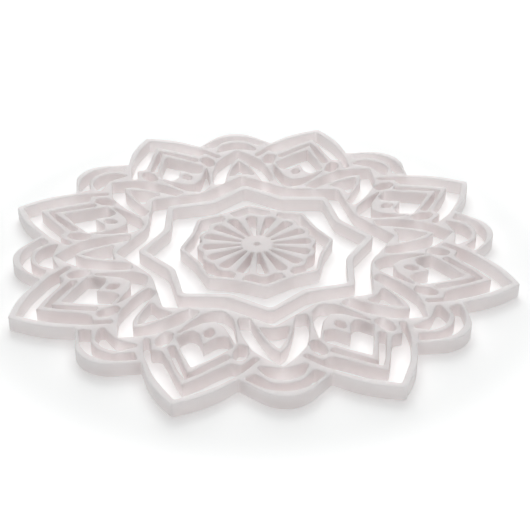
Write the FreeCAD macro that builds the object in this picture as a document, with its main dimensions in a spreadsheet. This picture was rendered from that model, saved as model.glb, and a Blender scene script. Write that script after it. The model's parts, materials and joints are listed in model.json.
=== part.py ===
import FreeCAD, Part
import math
import os

import Sketcher

os.makedirs("parts", exist_ok=True)
doc = FreeCAD.newDocument("MandalaMould")

# ---------------------------------------------------------------- dimensions (mm)
DIMS = {
    "thickness": 5.75,
    "sectors": 8,
    "rosette_slots": 16,
    "full_turn": 360,
    "centre_hole_dia": 2.2,
}
sheet = doc.addObject("Spreadsheet::Sheet", "Dimensions")
for row, (name, value) in enumerate(DIMS.items(), start=1):
    sheet.set(f"A{row}", name)
    sheet.set(f"B{row}", str(value))
    sheet.setAlias(f"B{row}", name)
doc.recompute()

SECTORS = DIMS["sectors"]
HALF_STEP = math.pi / SECTORS

# ---------------------------------------------------------------- plan outlines
# A loop is a list of corners (across, outward, blend radius). "outward" runs from
# the centre towards a petal tip or a lobe crown, "across" runs square to it.
# half loops list the corners with across >= 0; mirrored() adds the other side.

# frame, one pointed petal then one round lobe
PETAL_TIP = (0.0, 100.0, 1.6)
PETAL_SIDE = (10.3, 92.3, 40.0)
NOTCH = (17.0, 81.6, 0.5)
LOBE_CROWN = (0.0, 97.5, 12.3)

# inner edge of the frame, waved like the loose ring inside it
FRAME_INNER_LOBE = (0.0, 53.7, 2.0)
FRAME_INNER_PETAL = (0.0, 44.2, 12.0)

# petal: outer V channel, thin V slot, inner cell, crescent, two oval holes
PETAL_CHANNEL = [
    (0.0, 97.0, 0.9), (10.0, 88.3, 40.0), (17.4, 77.6, 20.0), (21.2, 68.2, 1.1),
    (18.7, 68.6, 1.1), (16.0, 74.7, 1.0), (12.6, 73.7, 2.5), (8.2, 79.0, 20.0),
    (4.6, 84.2, 30.0), (0.0, 89.6, 0.5),
]
PETAL_SLOT = [
    (0.0, 86.3, 0.4), (4.2, 81.7, 20.0), (11.3, 71.4, 1.0), (9.4, 69.4, 1.0),
    (0.0, 83.8, 0.3),
]
PETAL_CELL = [
    (0.0, 79.7, 0.5), (5.0, 73.4, 20.0), (10.2, 65.4, 1.2), (6.6, 59.6, 2.0),
    (3.2, 61.4, 3.0), (0.0, 66.6, 0.4),
]
CRESCENT = [
    (11.2, 64.4, 0.3), (8.6, 56.5, 12.0), (5.2, 49.0, 6.0), (0.0, 45.6, 3.0),
]
CRESCENT_TOP = [(0.0, 52.8, 1.5), (4.0, 54.8, 6.0), (8.2, 60.2, 4.0)]
PETAL_HOLE = [(0.0, 63.6, 1.2), (2.2, 60.0, 2.2), (0.0, 55.8, 1.2)]
SIDE_HOLE = [
    (11.6, 63.2, 1.4), (15.0, 63.2, 1.8), (16.6, 68.2, 4.0), (15.2, 71.9, 1.8),
    (12.4, 71.9, 1.8), (11.1, 68.0, 4.0),
]

# lobe: two arc channels, gothic arch channel, triangular cell
LOBE_ARC_1 = [
    (0.0, 90.6, 14.0), (8.0, 87.4, 14.0), (14.0, 81.6, 1.0), (10.0, 79.4, 1.2),
    (5.6, 84.4, 8.0), (0.0, 86.6, 14.0),
]
LOBE_ARC_2 = [
    (0.0, 84.4, 8.0), (6.0, 82.0, 5.0), (9.4, 75.0, 1.0), (4.5, 76.6, 4.0),
    (0.0, 78.0, 8.0),
]
LOBE_ARCH = [
    (0.0, 76.6, 0.5), (5.0, 71.9, 10.0), (9.4, 66.4, 6.0), (11.7, 58.0, 20.0),
    (12.5, 50.6, 5.0), (12.0, 47.6, 0.8), (8.0, 48.4, 0.8), (6.0, 56.6, 30.0),
    (3.0, 66.0, 8.0), (0.0, 69.3, 0.5),
]
LOBE_CELL = [(0.0, 66.8, 0.4), (3.4, 61.0, 16.0), (5.4, 53.8, 0.7), (0.0, 55.8, 10.0)]

# loose star ring, points under the lobes
STAR_OUTER_LOBE = (0.0, 45.8, 3.0)
STAR_OUTER_PETAL = (0.0, 37.6, 8.0)
STAR_INNER_LOBE = (0.0, 42.6, 2.0)
STAR_INNER_PETAL = (0.0, 34.8, 8.0)

# centre medallion: eight-sided rim with dished sides around a scalloped rosette
RIM_OUTER_CORNER = (0.0, 29.8, 3.0)
RIM_OUTER_SIDE = (0.0, 26.4, 20.0)
RIM_INNER_CORNER = (0.0, 28.0, 1.8)
RIM_INNER_SIDE = (0.0, 24.7, 20.0)
SCALLOP_CROWN = (0.0, 23.6, 3.6)
SCALLOP_DIP = (0.0, 21.2, 1.5)
ROSETTE_SLOT = [(0.5, 6.3, 0.3), (2.3, 20.7, 1.7)]
WEB_ANGLES = (-90, -45, 90, 135)
WEB_WIDTH = 3.6
WEB_INNER = 21.0
WEB_OUTER = 26.0


# ---------------------------------------------------------------- outline helpers
def mirrored(half):
    """Close a half loop about the outward axis."""
    other = [(-x, y, r) for x, y, r in reversed(half) if abs(x) > 1e-9]
    return list(half) + other


def turned(corner, angle):
    """Turn a corner given along +X outward by an angle about the centre."""
    across, outward, radius = corner
    c, s = math.cos(angle), math.sin(angle)
    return (outward * c - across * s, outward * s + across * c, radius)


def blended(corners):
    """Straight sides and tangent arcs of a closed loop of blended corners.

    Where two blends would run past each other on a short side, both are
    shortened so that they meet on it.
    """
    points = [FreeCAD.Vector(x, y, 0) for x, y, _ in corners]
    count = len(points)
    to_next = [points[(i + 1) % count] - points[i] for i in range(count)]
    half_angle = []
    reach = []
    for i in range(count):
        half = to_next[i].getAngle(-to_next[i - 1]) / 2
        half_angle.append(half)
        reach.append(corners[i][2] / math.tan(half))
    room = [
        min(1.0, to_next[i].Length / max(reach[i] + reach[(i + 1) % count], 1e-9))
        for i in range(count)
    ]
    reach = [reach[i] * min(room[i - 1], room[i]) for i in range(count)]

    edges = []
    last_end = points[-1] + FreeCAD.Vector(to_next[-1]).normalize() * reach[-1]
    for i in range(count):
        back = -FreeCAD.Vector(to_next[i - 1]).normalize()
        ahead = FreeCAD.Vector(to_next[i]).normalize()
        start = points[i] + back * reach[i]
        end = points[i] + ahead * reach[i]
        if (start - last_end).Length > 1e-5:
            edges.append(Part.LineSegment(last_end, start))
        else:
            start = last_end
        if reach[i] > 1e-5:
            half = half_angle[i]
            crown = reach[i] * (1 / math.cos(half) - math.tan(half))
            middle = points[i] + (back + ahead).normalize() * crown
            edges.append(Part.Arc(start, middle, end))
        last_end = end
    return edges


def ring_loop(on_axis, between, repeats=SECTORS):
    """Closed loop that repeats two half outlines all the way round."""
    corners = []
    for k in range(repeats):
        angle = 2 * math.pi * k / repeats
        for corner in mirrored_span(on_axis):
            corners.append(turned(corner, angle))
        for corner in mirrored_span(between):
            corners.append(turned(corner, angle + math.pi / repeats))
    return corners


def mirrored_span(half):
    """Corners from the minus side over the axis to the plus side."""
    minus = [(-x, y, r) for x, y, r in reversed(half) if abs(x) > 1e-9]
    return minus + list(half)


def turned_loop(corners, angle):
    return [turned(corner, angle) for corner in corners]


# ---------------------------------------------------------------- feature helpers
def origin_part(body, role):
    for feature in body.Origin.OriginFeatures:
        if feature.Role == role:
            return feature
    raise ValueError(role)


def new_body(name):
    body = doc.addObject("PartDesign::Body", name)
    body.Label = name
    return body


def sketch_on_base(body, name, loops):
    sketch = body.newObject("Sketcher::SketchObject", name)
    sketch.AttachmentSupport = [(origin_part(body, "XY_Plane"), "")]
    sketch.MapMode = "FlatFace"
    for corners in loops:
        sketch.addGeometry(blended(corners), False)
    return sketch


def pad(body, sketch, name):
    feature = body.newObject("PartDesign::Pad", name)
    feature.Profile = sketch
    feature.setExpression("Length", "Dimensions.thickness")
    doc.recompute()
    return feature


def cut_through(body, sketch, name):
    before = body.Shape.Volume
    feature = body.newObject("PartDesign::Pocket", name)
    feature.Profile = sketch
    feature.Type = "Length"
    feature.setExpression("Length", "Dimensions.thickness")
    feature.Reversed = True
    doc.recompute()
    if feature.Shape.Volume > before - 1.0:
        raise ValueError(f"{name} removed nothing")
    return feature


def around(body, feature, name, count_alias):
    pattern = body.newObject("PartDesign::PolarPattern", name)
    pattern.Originals = [feature]
    pattern.Axis = (origin_part(body, "Z_Axis"), [""])
    pattern.setExpression("Angle", "Dimensions.full_turn")
    pattern.setExpression("Occurrences", f"Dimensions.{count_alias}")
    body.Tip = pattern
    doc.recompute()
    return pattern


# ---------------------------------------------------------------- frame
frame = new_body("frame")
outer = ring_loop([PETAL_TIP, PETAL_SIDE, NOTCH], [LOBE_CROWN])
inner = ring_loop([FRAME_INNER_PETAL], [FRAME_INNER_LOBE])
pad(frame, sketch_on_base(frame, "FrameOutline", [outer, inner]), "FramePad")

petal_loops = [
    mirrored(PETAL_CHANNEL),
    mirrored(PETAL_SLOT),
    mirrored(PETAL_CELL),
    mirrored_span(CRESCENT_TOP) + [(x, y, r) for x, y, r in CRESCENT]
    + [(-x, y, r) for x, y, r in reversed(CRESCENT) if x > 0],
    mirrored(PETAL_HOLE),
    SIDE_HOLE,
    [(-x, y, r) for x, y, r in SIDE_HOLE],
]
petal_sketch = sketch_on_base(frame, "PetalCells", [turned_loop(c, 0.0) for c in petal_loops])
petal_cut = cut_through(frame, petal_sketch, "PetalCut")
around(frame, petal_cut, "PetalCuts", "sectors")

lobe_loops = [mirrored(half) for half in (LOBE_ARC_1, LOBE_ARC_2, LOBE_ARCH, LOBE_CELL)]
lobe_sketch = sketch_on_base(frame, "LobeCells", [turned_loop(c, HALF_STEP) for c in lobe_loops])
lobe_cut = cut_through(frame, lobe_sketch, "LobeCut")
around(frame, lobe_cut, "LobeCuts", "sectors")

# ---------------------------------------------------------------- star ring
star = new_body("star_ring")
star_loops = [
    ring_loop([STAR_OUTER_PETAL], [STAR_OUTER_LOBE]),
    ring_loop([STAR_INNER_PETAL], [STAR_INNER_LOBE]),
]
pad(star, sketch_on_base(star, "StarOutline", star_loops), "StarPad")

# ---------------------------------------------------------------- centre medallion
medallion = new_body("medallion")
scallops = ring_loop([SCALLOP_CROWN], [SCALLOP_DIP], DIMS["rosette_slots"])
pad(medallion, sketch_on_base(medallion, "RosetteOutline", [scallops]), "RosettePad")

web = [
    (WEB_WIDTH / 2, WEB_INNER, 0), (WEB_WIDTH / 2, WEB_OUTER, 0),
    (-WEB_WIDTH / 2, WEB_OUTER, 0), (-WEB_WIDTH / 2, WEB_INNER, 0),
]
web_loops = [turned_loop(web, math.radians(angle)) for angle in WEB_ANGLES]
pad(medallion, sketch_on_base(medallion, "Webs", web_loops), "WebPad")

rim_loops = [
    ring_loop([RIM_OUTER_SIDE], [RIM_OUTER_CORNER]),
    ring_loop([RIM_INNER_SIDE], [RIM_INNER_CORNER]),
]
pad(medallion, sketch_on_base(medallion, "RimOutline", rim_loops), "RimPad")

slot_sketch = sketch_on_base(medallion, "RosetteSlot", [turned_loop(mirrored(ROSETTE_SLOT), 0.0)])
slot_cut = cut_through(medallion, slot_sketch, "RosetteSlotCut")
around(medallion, slot_cut, "RosetteSlotCuts", "rosette_slots")

hole_sketch = sketch_on_base(medallion, "CentreHole", [])
hole_sketch.addGeometry(
    Part.Circle(FreeCAD.Vector(0, 0, 0), FreeCAD.Vector(0, 0, 1), DIMS["centre_hole_dia"] / 2), False
)
hole_sketch.addConstraint(Sketcher.Constraint("Diameter", 0, DIMS["centre_hole_dia"]))
hole_sketch.setExpression("Constraints[0]", "Dimensions.centre_hole_dia")
cut_through(medallion, hole_sketch, "CentreHoleCut")

# ---------------------------------------------------------------- write the pieces
doc.recompute()
for item in doc.Objects:
    if "Invalid" in item.State or "Error" in item.State:
        raise ValueError(f"{item.Name} did not compute")
for body in (frame, star, medallion):
    shape = body.Shape
    if shape.isNull() or not shape.isValid() or len(shape.Solids) != 1:
        raise ValueError(f"{body.Label} is not one valid solid")
    shape.exportStep(f"parts/{body.Label}.step")
    print(body.Label, round(shape.Volume, 1), len(shape.Faces))
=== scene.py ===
import json
import math

import bpy
from mathutils import Matrix, Vector
from mathutils.bvhtree import BVHTree
from mathutils.geometry import delaunay_2d_cdt


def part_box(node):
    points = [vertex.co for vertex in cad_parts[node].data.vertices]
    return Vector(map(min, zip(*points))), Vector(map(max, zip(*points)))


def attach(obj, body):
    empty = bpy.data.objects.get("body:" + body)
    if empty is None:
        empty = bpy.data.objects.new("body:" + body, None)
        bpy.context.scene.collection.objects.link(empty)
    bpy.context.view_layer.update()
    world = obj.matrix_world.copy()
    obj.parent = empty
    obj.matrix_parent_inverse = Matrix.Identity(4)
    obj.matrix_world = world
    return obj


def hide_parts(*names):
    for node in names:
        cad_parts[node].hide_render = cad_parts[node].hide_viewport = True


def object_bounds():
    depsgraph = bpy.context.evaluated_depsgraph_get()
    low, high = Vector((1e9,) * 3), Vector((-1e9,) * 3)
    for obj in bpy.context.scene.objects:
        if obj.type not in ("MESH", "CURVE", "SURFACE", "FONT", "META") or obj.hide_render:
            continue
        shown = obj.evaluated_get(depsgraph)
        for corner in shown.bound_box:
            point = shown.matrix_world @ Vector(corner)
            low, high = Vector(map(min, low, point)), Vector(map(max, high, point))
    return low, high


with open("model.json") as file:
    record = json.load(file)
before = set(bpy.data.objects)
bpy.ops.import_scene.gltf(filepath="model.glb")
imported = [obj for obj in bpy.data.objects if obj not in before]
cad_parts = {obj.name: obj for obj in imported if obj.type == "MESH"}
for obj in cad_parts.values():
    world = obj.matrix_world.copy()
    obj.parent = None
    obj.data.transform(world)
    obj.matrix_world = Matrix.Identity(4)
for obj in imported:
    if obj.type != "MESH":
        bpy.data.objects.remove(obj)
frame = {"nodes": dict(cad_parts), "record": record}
cad_low, cad_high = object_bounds()

MM = 0.001  # in metres
CENTRE_TOP = Vector((0.0, 0.0, cad_high.z))

# ---------------------------------------------------------------- rounded rims
# lengths in mm
EDGE_RADIUS = 0.5
LONGEST_STEP = 1.3
CORNER_STEP = 0.25
SAME_POINT = 0.05
DEPTH_SLACK = 0.01
ON_THE_WALL = 1e-3
PLAN_TOLERANCE = 1e-4
WELD_GAP = 1e-6  # this one in metres, as the CAD meshes are
# degrees round the rim's quarter circle, where rings of points lie
RING_ANGLES = (30, 60, 90)
# a turn of the outline that counts as a corner, and the least cosine of half a turn
CORNER_TURN = math.radians(10)
SHARPEST_CORNER = 0.3

# ---------------------------------------------------------------- silicone (lengths in metres)
SILICONE_DARK = (0.935, 0.836, 0.830, 1.0)
SILICONE_LIGHT = (0.960, 0.864, 0.858, 1.0)
SILICONE_ROUGHNESS = 0.6
SILICONE_SPECULAR = 0.12
SCATTER_RADIUS = (0.0085, 0.0082, 0.0082)
MOTTLE_SCALE = 90.0
MOTTLE_DETAIL = 3.0
MOTTLE_RANGE = (0.3, 0.7)
GRAIN_SCALE = 900.0
GRAIN_DETAIL = 4.0
GRAIN_STRENGTH = 0.12
GRAIN_DEPTH = 0.0002

# ---------------------------------------------------------------- studio (metres, watts)
WHITE = (1.0, 1.0, 1.0, 1.0)
FLOOR_COLOUR = (0.856, 0.868, 0.866, 1.0)
FLOOR_ROUGHNESS = 0.9
FLOOR_SIZE = 6.0
FLOOR_DROP = 0.0002

# painted glow and painted shadow on the floor, by distance from the centre: the floor glows though it
# is no lamp, and glows less near the mould as a painted shadow round it
PAINTED_SHADOW_RADII = (0.103, 0.140)
PAINTED_GLOW_STRENGTHS = (0.285, 0.59)

WORLD_STRENGTH = 0.07
# name, place, diameter, energy
SOFTBOXES = (
    ("softbox_top", (0.0, 0.1, 1.1), 1.8, 9.0),
    ("softbox_back", (-0.47, 1.65, 1.34), 2.0, 23.5),
)

CAMERA_AZIMUTH = math.radians(-74.17)
CAMERA_ELEVATION = math.radians(32.21)
CAMERA_DISTANCE = 0.4795
CAMERA_ROLL = math.radians(0.097)
CAMERA_LENS = 85.1
CAMERA_SENSOR = 36.0
CAMERA_SHIFT = (0.0153, -0.0406)


# ---------------------------------------------------------------- materials
def silicone_material():
    """Off-white cured silicone: soft, slightly translucent, faintly uneven."""
    material = bpy.data.materials.new("silicone")
    material.use_nodes = True
    tree = material.node_tree
    nodes, links = tree.nodes, tree.links
    shader = nodes["Principled BSDF"]
    shader.inputs["Roughness"].default_value = SILICONE_ROUGHNESS
    shader.inputs["Specular IOR Level"].default_value = SILICONE_SPECULAR
    shader.inputs["Subsurface Weight"].default_value = 1.0
    shader.inputs["Subsurface Radius"].default_value = SCATTER_RADIUS
    shader.inputs["Subsurface Scale"].default_value = 1.0

    place = nodes.new("ShaderNodeTexCoord")
    mottle = nodes.new("ShaderNodeTexNoise")
    mottle.inputs["Scale"].default_value = MOTTLE_SCALE
    mottle.inputs["Detail"].default_value = MOTTLE_DETAIL
    tint = nodes.new("ShaderNodeValToRGB")
    stops = tint.color_ramp.elements
    stops[0].position, stops[1].position = MOTTLE_RANGE
    stops[0].color, stops[1].color = SILICONE_DARK, SILICONE_LIGHT
    links.new(place.outputs["Object"], mottle.inputs["Vector"])
    links.new(mottle.outputs["Fac"], tint.inputs["Fac"])
    links.new(tint.outputs["Color"], shader.inputs["Base Color"])

    grain = nodes.new("ShaderNodeTexNoise")
    grain.inputs["Scale"].default_value = GRAIN_SCALE
    grain.inputs["Detail"].default_value = GRAIN_DETAIL
    bump = nodes.new("ShaderNodeBump")
    bump.inputs["Strength"].default_value = GRAIN_STRENGTH
    bump.inputs["Distance"].default_value = GRAIN_DEPTH
    links.new(place.outputs["Object"], grain.inputs["Vector"])
    links.new(grain.outputs["Fac"], bump.inputs["Height"])
    links.new(bump.outputs["Normal"], shader.inputs["Normal"])
    return material


def floor_material():
    """Matt white with painted light: it glows a little, like a light table, and glows less near the
    mould as a painted shadow round it.
    """
    material = bpy.data.materials.new("studio_floor")
    material.use_nodes = True
    shader = material.node_tree.nodes["Principled BSDF"]
    shader.inputs["Base Color"].default_value = FLOOR_COLOUR
    shader.inputs["Roughness"].default_value = FLOOR_ROUGHNESS
    shader.inputs["Specular IOR Level"].default_value = 0.0
    shader.inputs["Emission Color"].default_value = WHITE

    nodes, links = material.node_tree.nodes, material.node_tree.links
    place = nodes.new("ShaderNodeTexCoord")
    radius = nodes.new("ShaderNodeVectorMath")
    radius.operation = "LENGTH"
    # painted glow: emission weak near the mould (painted shadow) and stronger further out (painted
    # light)
    painted_glow = nodes.new("ShaderNodeMapRange")
    painted_glow.interpolation_type = "SMOOTHSTEP"
    painted_glow.inputs["From Min"].default_value = PAINTED_SHADOW_RADII[0]
    painted_glow.inputs["From Max"].default_value = PAINTED_SHADOW_RADII[1]
    painted_glow.inputs["To Min"].default_value = PAINTED_GLOW_STRENGTHS[0]
    painted_glow.inputs["To Max"].default_value = PAINTED_GLOW_STRENGTHS[1]
    links.new(place.outputs["Object"], radius.inputs[0])
    links.new(radius.outputs["Value"], painted_glow.inputs["Value"])
    links.new(painted_glow.outputs["Result"], shader.inputs["Emission Strength"])
    return material


# ---------------------------------------------------------------- rounded pieces
def outline_loops(mesh):
    """Closed outlines of a flat piece's top face, in mm, with the solid on their left."""
    top = max(vertex.co.z for vertex in mesh.vertices)
    merged = {}
    index = []
    for vertex in mesh.vertices:
        key = tuple(round(c / WELD_GAP) for c in vertex.co)
        index.append(merged.setdefault(key, len(merged)))
    points = [Vector(key[:2]) * (WELD_GAP / MM) for key in merged]

    rim = {}
    for face in mesh.polygons:
        if min(mesh.vertices[v].co.z for v in face.vertices) < top - WELD_GAP:
            continue
        corners = [index[v] for v in face.vertices]
        for start, end in zip(corners, corners[1:] + corners[:1]):
            if (end, start) in rim:
                del rim[(end, start)]
            else:
                rim[(start, end)] = True

    following = dict(rim.keys())
    loops = []
    while following:
        first, second = following.popitem()
        loop = [points[first]]
        while second != first:
            loop.append(points[second])
            second = following.pop(second)
        loops.append(loop)
    return loops


def turns(loop):
    """How much the outline turns at each point, positive to the left."""
    result = []
    for i, point in enumerate(loop):
        arriving = point - loop[i - 1]
        leaving = loop[(i + 1) % len(loop)] - point
        result.append(math.atan2(arriving.cross(leaving), arriving.dot(leaving)))
    return result


def divided(loop):
    """The same outline with its long sides divided, and a short step beside each corner."""
    turn = turns(loop)
    result = []
    for i, start in enumerate(loop):
        ahead = (i + 1) % len(loop)
        length = (loop[ahead] - start).length
        low, high = 0.0, length
        if length > 3 * CORNER_STEP:
            if abs(turn[i]) > CORNER_TURN:
                low = CORNER_STEP
            if abs(turn[ahead]) > CORNER_TURN:
                high = length - CORNER_STEP
        steps = max(1, math.ceil((high - low) / LONGEST_STEP))
        stops = [low + (high - low) * step / steps for step in range(steps + 1)]
        result.append(start)
        result += [start.lerp(loop[ahead], stop / length) for stop in stops if 0.0 < stop < length]
    return result


def left_of(direction):
    return Vector((-direction.y, direction.x))


def inset(loop, depth):
    """Points at a depth inside the outline, opposite each of its points."""
    turn = turns(loop)
    result = []
    for i, point in enumerate(loop):
        before = left_of((point - loop[i - 1]).normalized())
        after = left_of((loop[(i + 1) % len(loop)] - point).normalized())
        middle = (before + after).normalized()
        if turn[i] > 0:
            result.append(point + middle * (depth / max(SHARPEST_CORNER, math.cos(turn[i] / 2))))
        elif turn[i] < -CORNER_TURN:
            result += [point + before * depth, point + middle * depth, point + after * depth]
        else:
            result.append(point + middle * depth)
    return result


class Outline:
    """The outlines of one flat piece, and how deep inside them a point lies."""

    def __init__(self, mesh):
        self.loops = [divided(loop) for loop in outline_loops(mesh)]
        corners = []
        walls = []
        for loop in self.loops:
            first = len(corners)
            for point in loop:
                corners += [(point.x, point.y, -1.0), (point.x, point.y, 1.0)]
            for i in range(len(loop)):
                here = first + 2 * i
                ahead = first + 2 * ((i + 1) % len(loop))
                walls.append((here, ahead, ahead + 1, here + 1))
        self.walls = BVHTree.FromPolygons(corners, walls)

    def nearest(self, point):
        place, _, _, distance = self.walls.find_nearest((point.x, point.y, 0.0))
        return Vector((place.x, place.y)), distance


def plan_mesh(outline, is_solid):
    """Triangles of the plan, with rings of points along the rounded rims."""
    points = []
    edges = []
    for loop in outline.loops:
        first = len(points)
        points += loop
        edges += [(first + i, first + (i + 1) % len(loop)) for i in range(len(loop))]
    for angle in RING_ANGLES:
        depth = EDGE_RADIUS * (1 - math.cos(math.radians(angle)))
        for loop in outline.loops:
            ring = []
            for point in inset(loop, depth):
                if outline.nearest(point)[1] < depth - DEPTH_SLACK:
                    ring.append(None)
                elif ring and ring[-1] is not None and (points[ring[-1]] - point).length < SAME_POINT:
                    ring.append(ring[-1])
                else:
                    points.append(point)
                    ring.append(len(points) - 1)
            for start, end in zip(ring, ring[1:] + ring[:1]):
                if start is not None and end is not None and start != end:
                    edges.append((start, end))
    points, _, triangles, *_ = delaunay_2d_cdt(points, edges, [], 0, PLAN_TOLERANCE)
    kept = [t for t in triangles if is_solid((points[t[0]] + points[t[1]] + points[t[2]]) / 3)]
    return points, kept


def rounded_piece(node, material):
    """A piece with the CAD node's outlines, its upper and lower rims rounded."""
    source = frame["nodes"][node].data
    thickness = (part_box(node)[1].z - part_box(node)[0].z) / MM
    solid = BVHTree.FromPolygons(
        [tuple(v.co / MM) for v in source.vertices], [tuple(f.vertices) for f in source.polygons]
    )

    def is_solid(point):
        place = solid.ray_cast((point.x, point.y, thickness + 1.0), (0, 0, -1))[0]
        return place is not None and place.z > thickness / 2

    outline = Outline(source)
    points, triangles = plan_mesh(outline, is_solid)
    top = []
    normals = []
    for point in points:
        place, depth = outline.nearest(point)
        lean = max(0.0, 1 - depth / EDGE_RADIUS)
        rise = math.sqrt(max(0.0, 1 - lean * lean))
        away = (place - point).normalized() if depth > ON_THE_WALL else Vector((0.0, 0.0))
        top.append((point.x, point.y, thickness - EDGE_RADIUS * (1 - rise)))
        normals.append((away.x * lean, away.y * lean, rise))

    count = len(points)
    vertices = [Vector(p) * MM for p in top]
    vertices += [Vector((x, y, thickness - z)) * MM for x, y, z in top]
    faces = [tuple(t) for t in triangles]
    rim = set()
    for t in triangles:
        for start, end in zip(t, t[1:] + t[:1]):
            if (end, start) in rim:
                rim.remove((end, start))
            else:
                rim.add((start, end))
    faces += [tuple(v + count for v in reversed(t)) for t in triangles]
    faces += [(start, start + count, end + count, end) for start, end in sorted(rim)]

    mesh = bpy.data.meshes.new(f"{node}_silicone")
    mesh.from_pydata(vertices, [], faces)
    mesh.validate()
    mesh.shade_smooth()
    mesh.materials.append(material)
    piece = bpy.data.objects.new(f"{node}_silicone", mesh)
    bpy.context.scene.collection.objects.link(piece)

    # rims share their normals with the wall below them, flats stay flat
    wall_normal = [Vector((0.0, 0.0)) for _ in range(count)]
    for start, end in rim:
        across = points[end] - points[start]
        side = Vector((across.y, -across.x)).normalized()
        wall_normal[start] += side
        wall_normal[end] += side
    for i, side in enumerate(wall_normal):
        if side.length > 0:
            side.normalize()
            normals[i] = (side.x, side.y, 0.0)
    lower = [(x, y, -z) for x, y, z in normals]
    mesh.normals_split_custom_set_from_vertices(normals + lower)
    return piece


silicone = silicone_material()
for body, members in frame["record"]["behaviour"]["bodies"].items():
    for node in members:
        piece = rounded_piece(node, silicone)
        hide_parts(node)
        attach(piece, body)


# ---------------------------------------------------------------- studio
def stage_floor():
    bpy.ops.mesh.primitive_plane_add(size=FLOOR_SIZE, location=(0, 0, -FLOOR_DROP))
    floor = bpy.context.object
    floor.name = "studio_floor"
    floor.data.materials.append(floor_material())


def area_light(name, place, size, energy):
    data = bpy.data.lights.new(name, "AREA")
    data.shape = "DISK"
    data.size = size
    data.energy = energy
    light = bpy.data.objects.new(name, data)
    light.location = place
    light.rotation_euler = (CENTRE_TOP - Vector(place)).to_track_quat("-Z", "Y").to_euler()
    bpy.context.scene.collection.objects.link(light)


def studio_world(strength):
    world = bpy.data.worlds.new("studio")
    world.use_nodes = True
    background = world.node_tree.nodes["Background"]
    background.inputs["Color"].default_value = WHITE
    background.inputs["Strength"].default_value = strength
    bpy.context.scene.world = world


def studio_camera():
    flat = math.cos(CAMERA_ELEVATION)
    direction = Vector((
        flat * math.cos(CAMERA_AZIMUTH),
        flat * math.sin(CAMERA_AZIMUTH),
        math.sin(CAMERA_ELEVATION),
    ))
    data = bpy.data.cameras.new("camera")
    data.lens = CAMERA_LENS
    data.sensor_width = CAMERA_SENSOR
    data.shift_x, data.shift_y = CAMERA_SHIFT
    camera = bpy.data.objects.new("camera", data)
    aim = (-direction).to_track_quat("-Z", "Y").to_matrix().to_4x4()
    place = Matrix.Translation(CENTRE_TOP + direction * CAMERA_DISTANCE)
    camera.matrix_world = place @ aim @ Matrix.Rotation(CAMERA_ROLL, 4, "Z")
    bpy.context.scene.collection.objects.link(camera)
    bpy.context.scene.camera = camera


stage_floor()
studio_world(WORLD_STRENGTH)
for name, place, size, energy in SOFTBOXES:
    area_light(name, place, size, energy)
studio_camera()
bpy.context.scene.view_settings.view_transform = "Standard"
